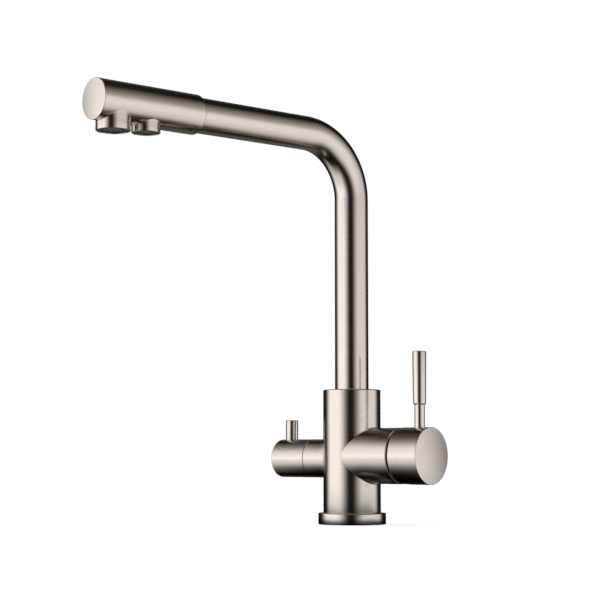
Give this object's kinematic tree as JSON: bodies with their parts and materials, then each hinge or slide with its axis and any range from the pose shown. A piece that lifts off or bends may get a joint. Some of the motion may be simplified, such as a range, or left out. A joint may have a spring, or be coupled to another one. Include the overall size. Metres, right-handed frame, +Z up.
{
  "type": "three way filtered water tap",
  "caption": "Tall deck-mounted kitchen mixer with a swivel spout, separate outlets for mixed and filtered water, a pin lever mixer handle on the right and a filter pin knob on the left.",
  "frame": {"origin": "middle of the foot, on the plane of the sink or worktop that the tap stands on", "axes": "+Z up, +X to the mixer handle, -X to the filter knob, -Y towards the person at the sink; the spout is at rest 10.5 degrees off -Y, towards -X"},
  "size_m": [0.1563, 0.286, 0.3397],
  "materials": {
    "nickel": "brushed nickel, satin, fine lines around each turned piece",
    "brass": "plain turned brass",
    "steel": "plain stainless steel",
    "rubber": "matt black rubber",
    "ceramic": "polished white ceramic",
    "acetal": "white acetal",
    "grey_plastic": "grey moulded plastic",
    "black_plastic": "dark moulded plastic"
  },
  "bodies": {
    "tap_body": {"body_column": "nickel", "base_flange": "nickel", "base_seal": "rubber", "spout_stop_screw": "steel", "filtered_tube_seal": "rubber", "cartridge_seal": "rubber", "cartridge_base": "grey_plastic", "cartridge_housing": "grey_plastic", "fixed_disc": "ceramic", "cartridge_nut": "brass", "trim_ring": "nickel", "headwork_body": "brass", "headwork_seal": "rubber", "headwork_ring_seal": "rubber", "filter_fixed_disc": "ceramic"},
    "spout": {"spout_tube": "nickel", "spout_spigot": "brass", "glide_ring_lower": "acetal", "glide_ring_upper": "acetal", "spout_ring_seal_lower": "rubber", "spout_ring_seal_upper": "rubber", "filtered_tube": "acetal", "spout_head": "nickel", "filter_elbow": "brass", "elbow_seal": "rubber", "main_aerator_washer": "rubber", "main_aerator_insert": "grey_plastic", "main_aerator_ring": "black_plastic", "filter_aerator_washer": "rubber", "filter_aerator_insert": "grey_plastic", "filter_aerator_ring": "black_plastic"},
    "mixer_rotor": {"cartridge_rotor": "acetal", "pivot_pin": "steel"},
    "mixer_lever_handle": {"mixer_handle": "nickel", "mixer_lever": "nickel", "lever_spindle": "brass", "mixer_handle_screw": "steel"},
    "sliding_disc": {"disc_carrier": "acetal", "moving_disc": "ceramic"},
    "filter_handle": {"filter_knob": "nickel", "filter_pin": "nickel", "filter_spindle": "brass", "filter_moving_disc": "ceramic", "spindle_clip": "steel", "spindle_ring_seal": "rubber", "filter_knob_screw": "steel"}
  },
  "joints": [
    {"name": "spout_swivel", "type": "hinge", "parent": "tap_body", "child": "spout", "pos_m": [0, 0, 0.095], "axis": [0, 0, 1], "continuous": true},
    {"name": "mixer_turn", "type": "hinge", "parent": "tap_body", "child": "mixer_rotor", "pos_m": [0.037, 0, 0.0565], "axis": [1, 0, 0], "range_deg": [-50, 50]},
    {"name": "mixer_tilt", "type": "hinge", "parent": "mixer_rotor", "child": "mixer_lever_handle", "pos_m": [0.037, 0, 0.0565], "axis": [0, 1, 0], "range_deg": [0, 25]},
    {"name": "disc_slide", "type": "slide", "parent": "mixer_rotor", "child": "sliding_disc", "axis": [0, 0, 1], "range_m": [0, 0.0022]},
    {"name": "filter_turn", "type": "hinge", "parent": "tap_body", "child": "filter_handle", "pos_m": [-0.05, 0, 0.0544], "axis": [1, 0, 0], "range_deg": [0, 90]}
  ],
  "couplings": [
    {"joint": "disc_slide", "follows": "mixer_tilt", "m_per_rad": 0.00494}
  ]
}
